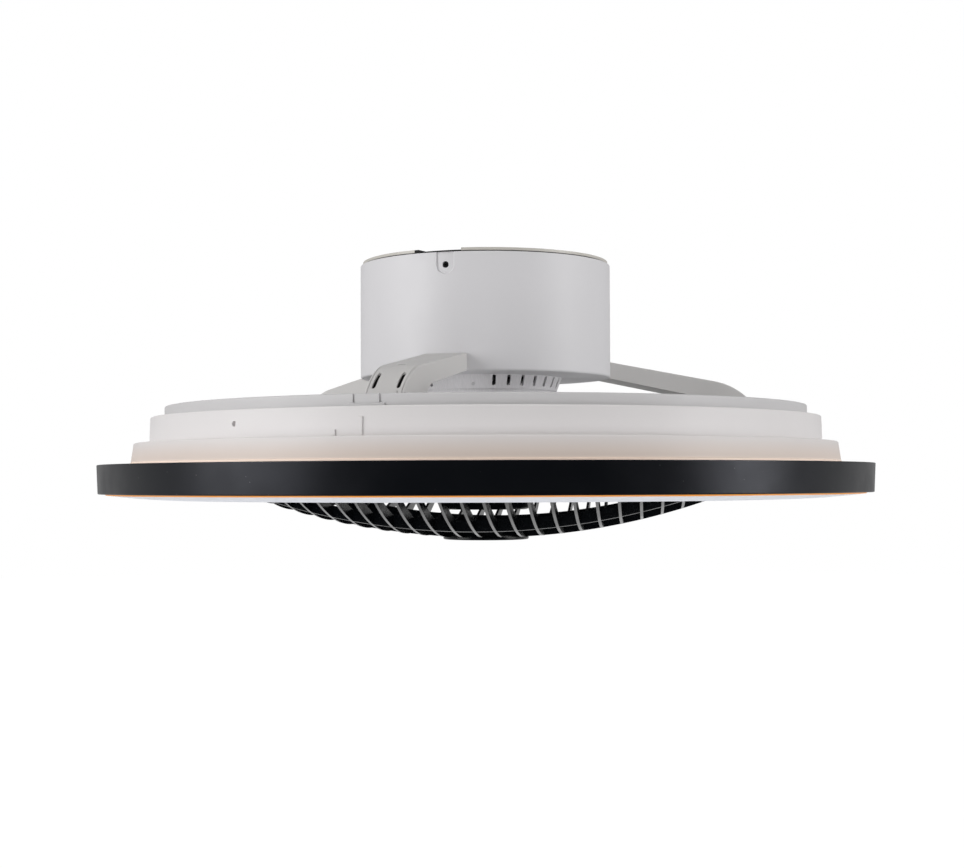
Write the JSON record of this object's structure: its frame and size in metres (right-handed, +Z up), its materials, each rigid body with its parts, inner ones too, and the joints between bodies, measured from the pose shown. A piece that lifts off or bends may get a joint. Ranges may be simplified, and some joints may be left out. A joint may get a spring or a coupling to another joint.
{
  "type": "flush ceiling fan with ring light",
  "caption": "Flush ceiling fan turning inside a round duct, hung by arms from a drum canopy, with a stepped ring lamp, a black trim and a dished grille below.",
  "frame": {"origin": "centre of the ceiling face, which is the top of the mounting plate and the centre of its screw circle", "axes": "+Z up into the ceiling along the fan's axis; +Y away from the viewer of the picture; +X to its right"},
  "size_m": [0.631, 0.631, 0.2289],
  "materials": {
    "plate_steel": "satin zinc plate",
    "canopy_paint": "satin white paint",
    "rubber": "matte",
    "terminal_plastic": "matte",
    "black_screw": "satin black",
    "zinc_screw": "bright zinc",
    "base_enamel": "matt black enamel on a casting",
    "cone_plastic": "satin, cool grey",
    "lamination_steel": "stacked sheets",
    "copper": "enamelled copper",
    "bearing_steel": "polished",
    "cage_plastic": "matte",
    "case_plastic": "matte",
    "board": "matte lacquer",
    "potting": "matte resin",
    "arm_plastic": "satin, warm grey white",
    "lid_plastic": "satin, warm grey white",
    "ring_plastic": "satin white",
    "duct_plastic": "satin black",
    "socket_plastic": "matte",
    "lead_jacket": "matte white jacket",
    "shaft_steel": "ground",
    "bell_steel": "drawn steel",
    "magnet": "nickel plated",
    "fan_plastic": "satin black",
    "lamp_plastic": "satin white",
    "white_board": "white solder mask",
    "led": "phosphor",
    "halo": "opal, lit warm white",
    "black_trim": "satin black",
    "amber": "opal, lit amber",
    "opal": "opal diffuser",
    "black_grille": "satin black"
  },
  "bodies": {
    "frame": {"mounting_plate": "plate_steel", "notch_pads": "rubber", "cable_grommet": "rubber", "terminal_block": "terminal_plastic", "canopy": "canopy_paint", "canopy_screws": "black_screw", "motor_base": "base_enamel", "motor_base_screws": "zinc_screw", "motor_cone": "cone_plastic", "cone_screws": "zinc_screw", "stator_core": "lamination_steel", "stator_coils": "copper", "bearing_outer_rings": "bearing_steel", "driver_case": "case_plastic", "driver_board": "board", "driver_lid": "case_plastic", "fan_controller": "potting", "arm_front": "arm_plastic", "arm_right": "arm_plastic", "arm_back": "arm_plastic", "arm_lid_front": "lid_plastic", "arm_lid_right": "lid_plastic", "arm_lid_back": "lid_plastic", "arm_screws_canopy": "zinc_screw", "arm_screws_frame": "zinc_screw", "frame_ring": "ring_plastic", "air_duct": "duct_plastic", "lamp_socket": "socket_plastic", "lamp_lead": "lead_jacket"},
    "fan": {"motor_shaft": "shaft_steel", "bearing_inner_rings": "bearing_steel", "rotor_bell": "bell_steel", "rotor_magnets": "magnet", "blade_hub": "fan_plastic", "fan_blade_1": "fan_plastic", "fan_blade_2": "fan_plastic", "fan_blade_3": "fan_plastic", "fan_blade_4": "fan_plastic", "fan_blade_5": "fan_plastic", "blade_screws": "zinc_screw", "hub_washer": "zinc_screw", "hub_nut": "zinc_screw", "hub_cap": "fan_plastic"},
    "ball_cages": {"bearing_balls": "bearing_steel", "bearing_cages": "cage_plastic"},
    "lamp": {"lamp_body": "lamp_plastic", "lamp_plate": "plate_steel", "lamp_plate_screws": "zinc_screw", "contact_pad": "socket_plastic", "led_boards": "white_board", "led_chips": "led", "halo_strip": "halo", "trim_ring": "black_trim", "trim_screws": "black_screw", "amber_strip": "amber", "diffuser": "opal"},
    "grille": {"grille": "black_grille", "grille_collar": "black_grille", "grille_cap": "black_grille"}
  },
  "joints": [
    {"name": "fan_spin", "type": "hinge", "parent": "frame", "child": "fan", "pos_m": [0, 0, -0.144], "axis": [0, 0, 1], "continuous": true},
    {"name": "cage_spin", "type": "hinge", "parent": "frame", "child": "ball_cages", "pos_m": [0, 0, -0.0765], "axis": [0, 0, 1], "continuous": true},
    {"name": "lamp_twist", "type": "hinge", "parent": "frame", "child": "lamp", "pos_m": [0, 0, -0.1297], "axis": [0, 0, 1], "range_deg": [0, 4.1]},
    {"name": "grille_twist", "type": "hinge", "parent": "frame", "child": "grille", "pos_m": [0, 0, -0.1958], "axis": [0, 0, 1], "range_deg": [0, 13.5]}
  ],
  "couplings": [
    {"joint": "cage_spin", "follows": "fan_spin", "ratio": 0.3901}
  ]
}
